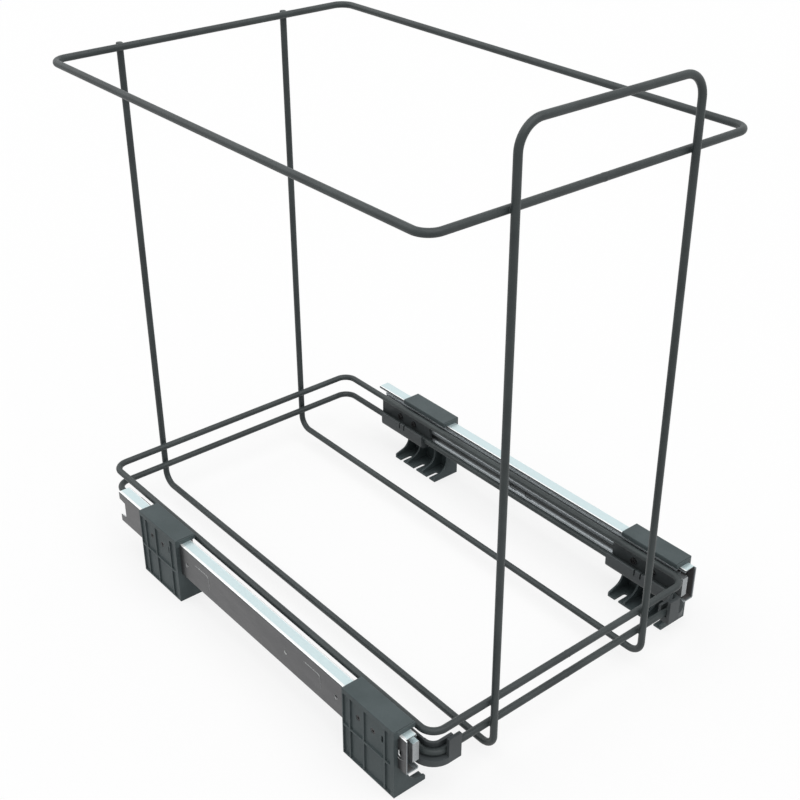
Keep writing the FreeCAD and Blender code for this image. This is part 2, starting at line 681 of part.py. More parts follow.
def ball_cage(label, side, face, near_edge, row_height, row_place, front):
    """A folded strip that spaces the balls. Its web lies between two profile webs."""
    body = new_body(label, front)
    gauge = size.cage_sheet
    outline = []
    half = row_height + gauge / 2
    corners = [(near_edge, half), (face, half, gauge * 2)]
    for up in (1, -1):
        stretch = [(side * point[0], size.slide_centre + up * point[1]) + point[2:] for point in corners]
        outline += stretch if up == 1 else stretch[::-1]
    corners = [(near_edge, half - gauge), (face - gauge, half - gauge, gauge)]
    for up in (-1, 1):
        stretch = [(side * point[0], size.slide_centre + up * point[1]) + point[2:] for point in corners]
        outline += stretch if up == -1 else stretch[::-1]
    prism(body, label + "_strip", "XZ_Plane", 0, cage_length, [outline])
    holes = [
        (side * row_place, along, size.ball_diameter / 2 + size.ball_clearance * 2)
        for along in ball_stations()
    ]
    prism(body, label + "_ball_holes", "XY_Plane", size.slide_centre - fixed_half,
          size.slide_centre + fixed_half, circles=holes, cut=True)
    return body


def ball_stations():
    """The balls of one row, in a group at each end of the cage."""
    balls_in_group = 4
    stations = []
    for number in range(balls_in_group):
        stations.append(size.ball_end + size.ball_pitch * number)
        stations.append(cage_length - size.ball_end - size.ball_pitch * number)
    return stations


def ball_set(label, side, row_height, row_place, front):
    """The steel balls of one cage, as one group of separate balls."""
    balls = []
    for up in (1, -1):
        for along in ball_stations():
            ball = doc.addObject("Part::Sphere", f"{label}_ball")
            ball.setExpression("Radius", (size.ball_diameter / 2).text)
            ball.setExpression("Placement.Base.x", (side * row_place).text)
            ball.setExpression("Placement.Base.y", along.text)
            ball.setExpression("Placement.Base.z", (size.slide_centre + up * row_height).text)
            balls.append(ball)
    return grouped(label, balls, front)


def grouped(label, items, start=0):
    """Several like pieces under one name."""
    group = doc.addObject("Part::Compound", label)
    group.Label = label
    group.Links = items
    place(group, start)
    return group


# Mounting brackets: moulded feet that hold the fixed profiles and are screwed to the cabinet floor


def mounting_bracket(label, side, end):
    """A bracket with a wall outside the slide, a seat under it and a cover over it."""
    body = new_body(label, bracket_front[end])
    outside = size.bracket_outside
    tip = outside - size.bracket_foot
    length = size.bracket_length
    seat_top = size.slide_centre - fixed_half - size.bracket_fit
    cover_bottom = size.slide_centre + fixed_half + size.bracket_fit
    cover_top = cover_bottom + size.bracket_cover
    seat_edge = outside - size.seat_reach
    cover_edge = outside - size.cover_reach
    round_edge = size.bracket_round
    section = [
        (outside, 0, round_edge / 2),
        (outside, cover_top, round_edge),
        (cover_edge, cover_top, round_edge),
        (cover_edge, cover_bottom),
        (bracket_wall_face, cover_bottom),
        (bracket_wall_face, seat_top),
        (seat_edge, seat_top, round_edge),
        (seat_edge, size.foot_rise, size.rib_curve),
        (tip, size.foot_tip, size.foot_round),
        (tip, 0, round_edge / 2),
    ]
    prism(body, label + "_section", "XZ_Plane", 0, length,
          [[(side * point[0],) + point[1:] for point in section]])

    # The nose of the cover runs on in front of the wall, with a bevelled outer corner
    nose = size.cover_nose
    low, high = span(side, cover_edge, outside)
    nose_outline = [
        (side * cover_edge, 1), (side * cover_edge, -nose), (side * (outside - size.nose_bevel), -nose),
        (side * outside, 0), (side * outside, 1)]
    prism(body, label + "_nose", "XY_Plane", cover_bottom, cover_top - round_edge / 2, [nose_outline])
    wall_outline = [
        (side * bracket_wall_face, 1), (side * bracket_wall_face, -nose),
        (side * (outside - size.nose_bevel), -nose), (side * outside, 0), (side * outside, 1)]
    nose_bottom = cover_top - size.nose_height
    prism(body, label + "_nose_wall", "XY_Plane", nose_bottom, cover_bottom + 1, [wall_outline])

    # Hollows between the ribs, from the foot plate up to the seat
    half_slot = size.slot_width / 2
    slots = [length / 2 + size.slot_pitch * step for step in (-1, 0, 1)]
    rib = size.rib_thickness
    first_rib = (length - size.rib_pitch - rib) / 2
    second_rib = first_rib + size.rib_pitch
    hollows = [(rib, first_rib), (first_rib + rib, second_rib), (second_rib + rib, length - rib)]
    low, high = span(side, tip - 1, outside - size.rib_root)
    prism(body, label + "_hollows", "YZ_Plane", low, high, [
        rectangle(start, stop, size.foot_plate, seat_top - size.bracket_seat)
        for start, stop in hollows], cut=True)

    # Open screw slots in the foot, with a round inner end
    round_end = tip + size.slot_depth - half_slot
    low, high = span(side, tip - 1, round_end)
    prism(body, label + "_slots", "XY_Plane", -1, size.foot_plate + 1,
          [rectangle(low, high, along - half_slot, along + half_slot) for along in slots], cut=True)
    prism(body, label + "_slot_ends", "XY_Plane", -1, size.foot_plate + 1,
          circles=[(side * round_end, along, half_slot) for along in slots], cut=True)

    # Pockets in the outer face, between raised ribs
    half_rib = size.wall_rib / 2
    uprights = [size.first_wall_rib, size.second_wall_rib, size.third_wall_rib]
    starts = [size.front_rim] + [along + half_rib for along in uprights]
    stops = [along - half_rib for along in uprights] + [length - size.rear_rim]
    levels = [
        (size.bottom_rim, size.cross_rib_height - half_rib), (size.cross_rib_height + half_rib, cover_bottom)]
    low, high = span(side, pocket_floor, outside + 1)
    prism(body, label + "_pockets", "YZ_Plane", low, high, [
        rectangle(start, stop, bottom, top)
        for start, stop in zip(starts, stops) for bottom, top in levels], cut=True)

    # Two counterbored screw holes and a slot through the wall
    through_wall = span(side, fixed_face - 1, outside + 1)
    hole_radius = size.bracket_screw / 2 + size.screw_clearance
    holes = [(along, size.screw_height, hole_radius) for along in screw_places]
    prism(body, label + "_screw_holes", "YZ_Plane", *through_wall, circles=holes, cut=True)
    low, high = span(side, head_seat, outside + 1)
    bore_radius = size.bracket_screw_head / 2 + size.screw_clearance
    bores = [(along, size.screw_height, bore_radius) for along in screw_places]
    prism(body, label + "_counterbores", "YZ_Plane", low, high, circles=bores, cut=True)
    half_width = size.wall_slot_width / 2
    half_height = size.wall_slot_height / 2
    prism(body, label + "_wall_slot", "YZ_Plane", *through_wall, [rectangle(
        size.wall_slot_place - half_width, size.wall_slot_place + half_width,
        size.screw_height - half_height, size.screw_height + half_height,
        half_width - size.screw_clearance)], cut=True)
    return body


# Screws, driven along X


def screw(name, side, seat, along, height, head_radius, head_depth, shank_radius, shank_length, outwards):
    """A pan head screw with a cross recess. Its head stands on the seat and its shank points away."""
    head_side = side if outwards else -side
    turn = FreeCAD.Rotation(FreeCAD.Vector(0, 1, 0), 90 * head_side)
    across = as_size(side * seat)
    parts = {}
    for role, radius, reach, direction in (
            ("head", head_radius, head_depth, 1), ("shank", shank_radius, shank_length, -1)):
        cylinder = doc.addObject("Part::Cylinder", f"{name}_{role}")
        cylinder.setExpression("Radius", radius.text)
        cylinder.setExpression("Height", reach.text)
        start = across if direction == 1 else across - head_side * reach
        cylinder.Placement.Rotation = turn
        cylinder.setExpression("Placement.Base.x", start.text)
        cylinder.setExpression("Placement.Base.y", as_size(along).text)
        cylinder.setExpression("Placement.Base.z", as_size(height).text)
        parts[role] = cylinder
    joined = doc.addObject("Part::Fuse", f"{name}_blank")
    joined.Base = parts["head"]
    joined.Tool = parts["shank"]
    bars = []
    recess_floor = across + head_side * (head_depth - size.recess_depth)
    past_head = across + head_side * (head_depth + 1)
    recess_low, recess_high = sorted((recess_floor, past_head), key=lambda item: item.number)
    for role, wide, tall in (
            ("recess_a", head_radius, size.recess_width), ("recess_b", size.recess_width, head_radius)):
        bar = doc.addObject("Part::Box", f"{name}_{role}")
        bar.setExpression("Length", (recess_high - recess_low).text)
        bar.setExpression("Width", wide.text)
        bar.setExpression("Height", tall.text)
        bar.setExpression("Placement.Base.x", recess_low.text)
        bar.setExpression("Placement.Base.y", (as_size(along) - wide / 2).text)
        bar.setExpression("Placement.Base.z", (as_size(height) - tall / 2).text)
        bars.append(bar)
    cross = doc.addObject("Part::Fuse", f"{name}_recess")
    cross.Base = bars[0]
    cross.Tool = bars[1]
    finished = doc.addObject("Part::Cut", name)
    finished.Base = joined
    finished.Tool = cross
    return finished


def bracket_screws(label, side):
    """Four screws hold one slide in its two brackets. They end flush with the fixed web."""
    screws = []
    shank = head_seat - fixed_face + size.slide_sheet
    for end in ("front", "rear"):
        for along in screw_places:
            screws.append(screw(
                f"{label}_screw", side, head_seat, bracket_front[end] + along, size.screw_height,
                size.bracket_screw_head / 2, size.head_depth, size.bracket_screw / 2, shank, outwards=True))
    return grouped(label, screws)


def carrier_screws(label, side):
    """Four screws hold the two carriers of one side on the moving profile."""
    screws = []
    shank = moving_face - plate_face + size.slide_sheet * 2
    for end in ("front", "rear"):
        for along in carrier_screw_places(end):
            screws.append(screw(
                f"{label}_screw", side, plate_face, along, size.slide_centre,
                size.carrier_screw_head / 2, size.carrier_head_depth, size.carrier_screw / 2,
                shank, outwards=False))
    return grouped(label, screws)


# Basket carriers: moulded channels on the moving profiles, in which the lower base ring lies

wire_line = size.base_width / 2
channel_inner_reach = wire + size.channel_fit
channel_outer_reach = channel_inner_reach + size.channel_wall
plate_face = wire_line + channel_inner_reach
plate_back = moving_face - size.plate_fit
channel_bottom = size.channel_base
channel_floor = size.lower_base_height - channel_inner_reach


def carrier_holes(body, name, side, end, start):
    """Screw holes in a carrier's back plate."""
    low, high = span(side, plate_face - 1, moving_face + 1)
    holes = [
        (along - start, size.slide_centre, size.carrier_screw / 2 + size.screw_clearance)
        for along in carrier_screw_places(end)
    ]
    prism(body, name, "YZ_Plane", low, high, circles=holes, cut=True)


def snap_tongue(body, name, side, along):
    """Two slots free a tongue in the inner wall, which snaps over the wire."""
    half = size.tongue_width / 2
    low, high = span(side, wire_line - channel_outer_reach - 1, wire_line - wire)
    past_top = size.channel_top + 5
    slots = [
        rectangle(along - half - size.tongue_slot, along - half, size.lower_base_height, past_top),
        rectangle(along + half, along + half + size.tongue_slot, size.lower_base_height, past_top),
    ]
    prism(body, name + "_slots", "YZ_Plane", low, high, slots, cut=True)
    clear_of_wire = size.lower_base_height + wire + size.channel_fit
    inner = wire_line - channel_inner_reach
    root = inner - size.channel_wall / 2
    tip = inner + size.catch_reach
    prism(body, name + "_catch", "XZ_Plane", along - half, along + half, [[
        (side * root, size.channel_top), (side * inner, size.channel_top),
        (side * tip, clear_of_wire + size.catch_height), (side * tip, clear_of_wire),
        (side * root, clear_of_wire)]])


def channel_section(side):
    """The channel under and beside the wire, with a rounded inner bottom edge."""
    inner_face = wire_line - channel_outer_reach
    wall_face = wire_line - channel_inner_reach
    edge = size.channel_round
    return [
        (side * inner_face, size.channel_top, edge),
        (side * inner_face, channel_bottom, channel_inner_reach + size.channel_wall / 2),
        (side * plate_back, channel_bottom, edge),
        (side * plate_back, size.plate_top, edge),
        (side * plate_face, size.plate_top, edge),
        (side * plate_face, channel_floor, edge),
        (side * wall_face, channel_floor, wire),
        (side * wall_face, size.channel_top, edge),
    ]


def front_carrier(label, side):
    """A front carrier goes round the corner of the ring and ends in a plate under the front wire."""
    start, stop = carrier_spans["front"]
    body = new_body(label)
    prism(body, label + "_channel", "XZ_Plane", start, stop, [channel_section(side)])
    front_wire = -1 * size.base_forward
    bend = size.ring_bend
    wall_near = front_wire + channel_inner_reach
    wall_far = front_wire + channel_outer_reach
    overlap = size.channel_wall / 2

    # Inner wall and floor around the corner
    inner_x = wire_line - channel_outer_reach
    wall_x = wire_line - channel_inner_reach
    corner_wall = [
        (side * size.corner_reach, wall_near), (side * size.corner_reach, wall_far),
        (side * inner_x, wall_far, bend - channel_outer_reach), (side * inner_x, start + overlap),
        (side * wall_x, start + overlap), (side * wall_x, wall_near, bend - channel_inner_reach)]
    prism(body, label + "_corner_wall", "XY_Plane", channel_bottom, size.channel_top, [corner_wall])
    outer_reach = plate_back - wire_line
    floor_front = front_wire - outer_reach
    corner_floor = [
        (side * size.corner_reach, floor_front), (side * size.corner_reach, wall_far),
        (side * inner_x, wall_far, bend - channel_outer_reach), (side * inner_x, start + overlap),
        (side * plate_back, start + overlap), (side * plate_back, floor_front, bend + outer_reach)]
    prism(body, label + "_corner_floor", "XY_Plane", channel_bottom, channel_floor, [corner_floor])

    # End plate in front of the wire
    plate_low, plate_high = span(side, size.corner_reach, size.corner_reach + size.end_plate_width)
    prism(body, label + "_end_plate", "XY_Plane", channel_bottom, size.end_plate_top, [
        rectangle(plate_low, plate_high, floor_front, front_wire - channel_inner_reach - size.channel_fit)])
    snap_tongue(body, label + "_tongue", side, tongue_places["front"])
    carrier_holes(body, label + "_screw_holes", side, "front", 0)
    return body


def rear_carrier(label, side):
    """A rear carrier is a straight channel with a back plate that is longer at both ends."""
    start, stop = carrier_spans["rear"]
    body = new_body(label)
    prism(body, label + "_channel", "XZ_Plane", start, stop, [channel_section(side)])
    low, high = span(side, plate_face, plate_back)
    prism(body, label + "_plate", "XZ_Plane", start - size.rear_plate_nose, stop + size.rear_plate_tail,
          [rectangle(low, high, channel_bottom, size.plate_top, size.channel_round)])
    snap_tongue(body, label + "_tongue", side, tongue_places["rear"])
    carrier_holes(body, label + "_screw_holes", side, "rear", 0)
    return body


# Every piece of the object, by name

pieces = [
    wire_ring("rim_ring", size.rim_width, size.rim_height, as_size(0)),
    wire_ring("upper_base_ring", size.base_width, size.upper_base_height, -1 * size.base_forward),
    wire_ring("lower_base_ring", size.base_width, size.lower_base_height, -1 * size.base_forward),
    handle_frame("handle_frame"),
]
for word, side in SIDES:
    pieces += [
        fixed_profile(f"fixed_profile_{word}", side),
        middle_profile(f"middle_profile_{word}", side),
        moving_profile(f"moving_profile_{word}", side),
        end_block(f"end_block_{word}", side),
        ball_cage(f"outer_cage_{word}", side, middle_face + (size.web_gap + size.cage_sheet) / 2,
                  fixed_lip_face + size.slide_sheet + size.cage_gap,
                  outer_ball_height, outer_ball_place, outer_cage_front),
        ball_cage(f"inner_cage_{word}", side, flange_end + (size.moving_gap + size.cage_sheet) / 2,
                  middle_lip_face + size.middle_sheet + size.cage_gap,
                  inner_ball_height, inner_ball_place, inner_cage_front),
        ball_set(f"outer_balls_{word}", side, outer_ball_height, outer_ball_place, outer_cage_front),
        ball_set(f"inner_balls_{word}", side, inner_ball_height, inner_ball_place, inner_cage_front),
        mounting_bracket(f"front_bracket_{word}", side, "front"),
        mounting_bracket(f"rear_bracket_{word}", side, "rear"),
        bracket_screws(f"bracket_screws_{word}", side),
        front_carrier(f"front_carrier_{word}", side),
        rear_carrier(f"rear_carrier_{word}", side),
        carrier_screws(f"carrier_screws_{word}", side),
    ]

doc.recompute()

for item in doc.Objects:
    if "Invalid" in item.State or "Error" in item.State:
        raise RuntimeError(f"{item.Name} was not rebuilt: {item.State}")

os.makedirs("parts", exist_ok=True)
for piece in pieces:
    shape = piece.Shape
    if shape.isNull() or not shape.isValid():
        raise RuntimeError(f"{piece.Label} has no valid shape")
    shape.exportStep(f"parts/{piece.Label}.step")
    box = shape.BoundBox
    print(f"{piece.Label}: {len(shape.Solids)} solids, {shape.Volume:.0f} mm3, "
          f"X {box.XMin:.1f} {box.XMax:.1f}, Y {box.YMin:.1f} {box.YMax:.1f}, "
          f"Z {box.ZMin:.1f} {box.ZMax:.1f}")
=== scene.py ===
"""Cabinet waste sorter: a powder coated wire basket that rolls out of a cabinet on two ball bearing slides.

The frame gives every piece its place, in metres: X across the cabinet, Y from the handle to the back, Z up.
The wires are made here as surfaces. The rolled, cast and moulded pieces keep their solids and get their
finish.
"""

import math

import bpy
import numpy as np
from mathutils import Euler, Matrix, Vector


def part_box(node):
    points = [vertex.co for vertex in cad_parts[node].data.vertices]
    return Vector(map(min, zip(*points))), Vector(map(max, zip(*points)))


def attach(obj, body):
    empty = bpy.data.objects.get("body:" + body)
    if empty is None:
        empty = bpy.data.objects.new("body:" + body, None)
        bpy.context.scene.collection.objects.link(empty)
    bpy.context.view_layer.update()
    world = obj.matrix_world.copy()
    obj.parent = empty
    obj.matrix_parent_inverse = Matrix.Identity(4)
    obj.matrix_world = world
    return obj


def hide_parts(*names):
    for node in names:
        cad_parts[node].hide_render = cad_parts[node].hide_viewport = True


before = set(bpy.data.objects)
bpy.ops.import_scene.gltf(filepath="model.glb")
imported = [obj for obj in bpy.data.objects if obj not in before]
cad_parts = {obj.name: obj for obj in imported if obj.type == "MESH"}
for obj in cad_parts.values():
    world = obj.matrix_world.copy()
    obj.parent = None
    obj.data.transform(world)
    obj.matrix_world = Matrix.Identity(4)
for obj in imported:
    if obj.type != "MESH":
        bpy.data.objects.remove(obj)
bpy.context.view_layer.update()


# Top rim and two base rings: each is one closed ring of 6 mm steel wire, bent round four corners.
# The ends meet in a butt weld in the middle of the front side, which leaves a faint swelling.
# The whole basket is powder coated dark grey after it has been welded.

WIRE_RADIUS = 0.0032
RING_BEND = 0.0135
BUTT_SWELL = 0.00018
BUTT_WIDTH = 0.0016
BUTT_STEP = 0.0005
BUTT_STEPS = 8
COAT_DARK = (0.030, 0.038, 0.039, 1)
COAT_LIGHT = (0.048, 0.059, 0.060, 1)


def rounded_route(corners, bends, step=0.004, turn=math.radians(7.5)):
    """Stations along straight runs and round every corner but the first and the last.

    A corner with bend radius r takes up r / tan(half its angle) of both runs. Its arc has its centre at
    r / sin(half angle) along the corner's bisector. Runs are divided by step and arcs by turn, into two
    parts of a run and three of an arc at the least.
    """
    corners = np.asarray(corners, float)
    arcs = {}
    for index in range(1, len(corners) - 1):
        corner = corners[index]
        back = corners[index - 1] - corner
        ahead = corners[index + 1] - corner
        back /= np.linalg.norm(back)
        ahead /= np.linalg.norm(ahead)
        half = math.acos(np.clip(back @ ahead, -1, 1)) / 2
        bisector = (back + ahead) / np.linalg.norm(back + ahead)
        centre = corner + bisector * bends[index] / math.sin(half)
        start = corner + back * bends[index] / math.tan(half) - centre
        side = -back * bends[index]
        sweep = math.pi - 2 * half
        angles = np.linspace(0, sweep, max(3, round(sweep / turn)) + 1)[:, None]
        arcs[index] = centre + start * np.cos(angles) + side * np.sin(angles)
    pieces = []
    for here, there in zip(range(len(corners)), range(1, len(corners))):
        leave = arcs[here][-1] if here in arcs else corners[here]
        arrive = arcs[there][0] if there in arcs else corners[there]
        runs = max(2, round(np.linalg.norm(arrive - leave) / step))
        pieces.append(leave + (arrive - leave) * np.linspace(0, 1, runs + 1)[:, None])
        if there in arcs:
            pieces.append(arcs[there][1:-1])
    return np.concatenate(pieces)


def along(stations, closed):
    """Unit tangents, from the neighbours on both sides of each station."""
    if closed:
        tangents = np.roll(stations, -1, 0) - np.roll(stations, 1, 0)
    else:
        tangents = np.gradient(stations, axis=0)
    return tangents / np.linalg.norm(tangents, axis=1, keepdims=True)


def tube(stations, tangents, first, radii, sides=20):
    """A round section carried along the stations: centre + radius (cos a first + sin a second)."""
    first = first - tangents * np.sum(first * tangents, axis=1, keepdims=True)
    first /= np.linalg.norm(first, axis=1, keepdims=True)
    second = np.cross(tangents, first)
    angles = np.linspace(0, 2 * math.pi, sides, endpoint=False)
    round_section = np.cos(angles)[:, None] * first[:, None] + np.sin(angles)[:, None] * second[:, None]
    return stations[:, None] + radii[:, None, None] * round_section


def grid_faces(rows, columns, wrap_rows, offset=0):
    """Quads between neighbouring rows of points. Columns always close, rows only on a closed ring."""
    row = np.arange(rows if wrap_rows else rows - 1)[:, None]
    column = np.arange(columns)[None, :]
    next_row = (row + 1) % rows
    next_column = (column + 1) % columns
    corners = [row * columns + column, row * columns + next_column,
               next_row * columns + next_column, next_row * columns + column]
    return (np.stack(np.broadcast_arrays(*corners), -1).reshape(-1, 4) + offset).tolist()


def capped_faces(rows, columns, offset=0):
    """The quads of an open tube, with one face over each end."""
    last = offset + (rows - 1) * columns
    ends = [list(range(offset, offset + columns))[::-1], list(range(last, last + columns))]
    return grid_faces(rows, columns, wrap_rows=False, offset=offset) + ends


def piece(name, points, faces, material, body):
    """A smooth mesh of these points and faces that rides on a body of the frame."""
    mesh = bpy.data.meshes.new(name)
    mesh.from_pydata(np.asarray(points).reshape(-1, 3).tolist(), [], faces)
    mesh.polygons.foreach_set("use_smooth", [True] * len(mesh.polygons))
    mesh.materials.append(material)
    made = bpy.data.objects.new(name, mesh)
    bpy.context.scene.collection.objects.link(made)
    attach(made, body)
    return made


def new_group(name, inputs, outputs):
    """An empty shader group with named float or vector inputs and float outputs."""
    tree = bpy.data.node_groups.new(name, "ShaderNodeTree")
    for label, kind, start in inputs:
        entry = tree.interface.new_socket(label, in_out="INPUT", socket_type=kind)
        if start is not None:
            entry.default_value = start
    for label in outputs:
        tree.interface.new_socket(label, in_out="OUTPUT", socket_type="NodeSocketFloat")
    return tree, tree.nodes.new("NodeGroupInput"), tree.nodes.new("NodeGroupOutput")


def feed(tree, socket, value):
    """Sets a socket to a value, or links it to another node's socket."""
    if isinstance(value, bpy.types.NodeSocket):
        tree.links.new(value, socket)
    else:
        socket.default_value = value


def noise(tree, vector, scale, detail=2.0, roughness=0.5):
    """Noise of a scale in cells a metre, from 0 to 1."""
    node = tree.nodes.new("ShaderNodeTexNoise")
    for label, value in (("Vector", vector), ("Scale", scale), ("Detail", detail), ("Roughness", roughness)):
        feed(tree, node.inputs[label], value)
    return node.outputs["Fac"]


def maths(tree, operation, *values, clamp=False):
    """One step of arithmetic on sockets or numbers."""
    node = tree.nodes.new("ShaderNodeMath")
    node.operation = operation
    node.use_clamp = clamp
    for socket, value in zip(node.inputs, values):
        feed(tree, socket, value)
    return node.outputs[0]


def ramp(tree, value, low, high, out_low=0.0, out_high=1.0):
    """Maps low..high smoothly to out_low..out_high and holds both ends. Low may be above high."""
    node = tree.nodes.new("ShaderNodeMapRange")
    node.interpolation_type = "SMOOTHSTEP"
    for label, number in (("Value", value), ("From Min", low), ("From Max", high),
                          ("To Min", out_low), ("To Max", out_high)):
        feed(tree, node.inputs[label], number)
    return node.outputs["Result"]


def blend_colours(tree, mask, first, second):
    """The first colour where the mask is 0 and the second where it is 1."""
    node = tree.nodes.new("ShaderNodeMix")
    node.data_type = "RGBA"
    feed(tree, node.inputs[0], mask)
    feed(tree, node.inputs[6], first)
    feed(tree, node.inputs[7], second)
    return node.outputs[2]


def stretched(tree, scale):
    """Object coordinates, stretched by a Mapping node."""
    place = tree.nodes.new("ShaderNodeTexCoord")
    mapping = tree.nodes.new("ShaderNodeMapping")
    mapping.inputs["Scale"].default_value = scale
    tree.links.new(place.outputs["Object"], mapping.inputs["Vector"])
    return mapping.outputs["Vector"]


# Skin: a fine grain over a slow mottle, for powder coat and for spark eroded plastic
skin, skin_in, skin_out = new_group(
    "skin", [("Grain Size", "NodeSocketFloat", 0.0004), ("Wave Size", "NodeSocketFloat", 0.002),
             ("Wave Share", "NodeSocketFloat", 0.5)], ["Height", "Mottle", "Speckle"])
skin_place = stretched(skin, (1, 1, 1))
grain = noise(skin, skin_place, maths(skin, "DIVIDE", 1.0, skin_in.outputs["Grain Size"]))
wave = noise(skin, skin_place, maths(skin, "DIVIDE", 1.0, skin_in.outputs["Wave Size"]), detail=1.0)
wave_part = maths(skin, "MULTIPLY", wave, skin_in.outputs["Wave Share"])
grain_part = maths(skin, "MULTIPLY", grain, maths(skin, "SUBTRACT", 1.0, skin_in.outputs["Wave Share"]))
feed(skin, skin_out.inputs["Height"], maths(skin, "ADD", wave_part, grain_part))
mottle = noise(skin, skin_place, scale=22.0, detail=4.0, roughness=0.6)
feed(skin, skin_out.inputs["Mottle"], ramp(skin, mottle, low=0.3, high=0.7))
feed(skin, skin_out.inputs["Speckle"], ramp(skin, grain, low=0.35, high=0.65))

# Rub: how near a convex edge is, where handling polishes a coat or a moulding
rub, rub_in, rub_out = new_group(
    "rub", [("Width", "NodeSocketFloat", 0.0006), ("Patchiness", "NodeSocketFloat", 0.5)], ["Mask"])
rounded = rub.nodes.new("ShaderNodeBevel")
rounded.samples = 6
feed(rub, rounded.inputs["Radius"], rub_in.outputs["Width"])
true_normal = rub.nodes.new("ShaderNodeNewGeometry")
facing = rub.nodes.new("ShaderNodeVectorMath")
facing.operation = "DOT_PRODUCT"
feed(rub, facing.inputs[0], rounded.outputs["Normal"])
feed(rub, facing.inputs[1], true_normal.outputs["Normal"])
edge = ramp(rub, facing.outputs["Value"], low=0.995, high=0.85)
patches = ramp(rub, noise(rub, stretched(rub, (1, 1, 1)), scale=160.0, detail=3.0), low=0.4, high=0.6)
held = maths(rub, "SUBTRACT", 1.0, maths(rub, "MULTIPLY", patches, rub_in.outputs["Patchiness"]))
feed(rub, rub_out.inputs["Mask"], maths(rub, "MULTIPLY", edge, held, clamp=True))


def grouped(tree, group, **values):
    """A node of a shared group with its own values."""
    node = tree.nodes.new("ShaderNodeGroup")
    node.node_tree = group
    for label, value in values.items():
        feed(tree, node.inputs[label.replace("_", " ")], value)
    return node.outputs


def bump(tree, height, strength, distance):
    """A Bump node's normal for a height from 0 to 1."""
    node = tree.nodes.new("ShaderNodeBump")
    node.inputs["Strength"].default_value = strength
    node.inputs["Distance"].default_value = distance
    tree.links.new(height, node.inputs["Height"])
    return node.outputs["Normal"]


def finish(name, **settings):
    """A material whose surface is one Principled BSDF, with these constants on its own sockets."""
    material = bpy.data.materials.new(name)
    material.use_nodes = True
    shader = material.node_tree.nodes["Principled BSDF"]
    for label, value in settings.items():
        shader.inputs[label.replace("_", " ")].default_value = value
    return material, material.node_tree, shader.inputs


def skinned(name, sizes, tones, roughness, relief, **settings):
    """A finish in two tones with the skin on it. The last thing returned is its mottled colour.

    The sizes are the grain's, the waves' and the waves' share. The roughness goes from its first to its
    second value over the speckle, and the relief is a strength and a depth in metres.
    """
    material, tree, surface = finish(name, **settings)
    marks = grouped(tree, skin, Grain_Size=sizes[0], Wave_Size=sizes[1], Wave_Share=sizes[2])
    tone = blend_colours(tree, marks["Mottle"], *tones)
    feed(tree, surface["Base Color"], tone)
    feed(tree, surface["Roughness"], ramp(tree, marks["Speckle"], 0.0, 1.0, *roughness))
    feed(tree, surface["Normal"], bump(tree, marks["Height"], *relief))
    return material, tree, surface, tone


def rub_edges(tree, surface, tone, rubbed, width, patchiness):
    """Brings the rubbed colour out on the convex edges of this width."""
    marks = grouped(tree, rub, Width=width, Patchiness=patchiness)
    feed(tree, surface["Base Color"], blend_colours(tree, marks["Mask"], tone, rubbed))


powder_coat = skinned(
    "powder_coat", (0.00035, 0.0016, 0.65), (COAT_DARK, COAT_LIGHT), (0.38, 0.5), (0.5, 0.00008),
    Metallic=0.0, Specular_IOR_Level=0.35)[0]

RINGS = ("rim_ring", "upper_base_ring", "lower_base_ring")
ALONG_X = np.array([1.0, 0.0, 0.0])
UP = np.array([0.0, 0.0, 1.0])
beside_weld = np.arange(1, BUTT_STEPS + 1)[:, None] * BUTT_STEP * ALONG_X
for ring in RINGS:
    low, high = (np.array(corner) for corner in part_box(ring))
    left, front, height = low + WIRE_RADIUS
    right, rear, _ = high - WIRE_RADIUS
    weld = np.array([0.0, front, height])
    corners = [weld, (right, front, height), (right, rear, height), (left, rear, height),
               (left, front, height), weld]
    stations = rounded_route(corners, [None] + [RING_BEND] * 4)
    # Close stations beside the weld carry its swelling
    stations = np.concatenate([stations[:1], weld + beside_weld, stations[2:-2], weld - beside_weld[::-1]])
    tangents = along(stations, closed=True)
    from_weld = np.linalg.norm(stations - weld, axis=1)
    radii = WIRE_RADIUS + BUTT_SWELL * np.exp(-((from_weld / BUTT_WIDTH) ** 2))
    skin_points = tube(stations, tangents, np.broadcast_to(UP, stations.shape), radii)
    faces = grid_faces(*skin_points.shape[:2], wrap_rows=True)
    ring_wire = piece(ring.replace("ring", "wire"), skin_points, faces, powder_coat, "basket")
    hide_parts(ring)


# Handle frame: one bent wire that is the handle, both uprights in front, the two bin support runs
# under the basket and both rear uprights. It is cropped square above the rim, and the coat rounds the cut.

FOOT_BEND = 0.0135
HANDLE_BEND = 0.0203
CUT_ROUND = 0.0009
POLE_RADIUS = 0.00001
REAR_RISE = 0.0027
WELD_SINK = 0.0002

rim_low, rim_high = (np.array(corner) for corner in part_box("rim_ring"))
base_low = np.array(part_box("upper_base_ring")[0])
frame_low, frame_high = (np.array(corner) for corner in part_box("handle_frame"))
weld_reach = 2 * WIRE_RADIUS - WELD_SINK
rim_height = rim_low[2] + WIRE_RADIUS
rim_front = rim_low[1] + WIRE_RADIUS
base_front = base_low[1] + WIRE_RADIUS
base_middle = (base_low[2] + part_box("lower_base_ring")[1][2]) / 2
uprights_apart = rim_high[1] - rim_low[1] - 2 * WIRE_RADIUS + 2 * weld_reach
upright_x = frame_high[0] - WIRE_RADIUS
run_height = frame_low[2] + WIRE_RADIUS
handle_height = frame_high[2] - WIRE_RADIUS
rear_top = rim_height + REAR_RISE


def upright_front(height):
    """The front uprights lean forward as they go down, because the base rings sit in front of the rim."""
    lean = (rim_front - base_front) * (rim_height - height) / (rim_height - base_middle)
    return rim_front - weld_reach - lean


def upright_rear(height):
    """The rear uprights are parallel to the front ones."""
    return upright_front(height) + uprights_apart


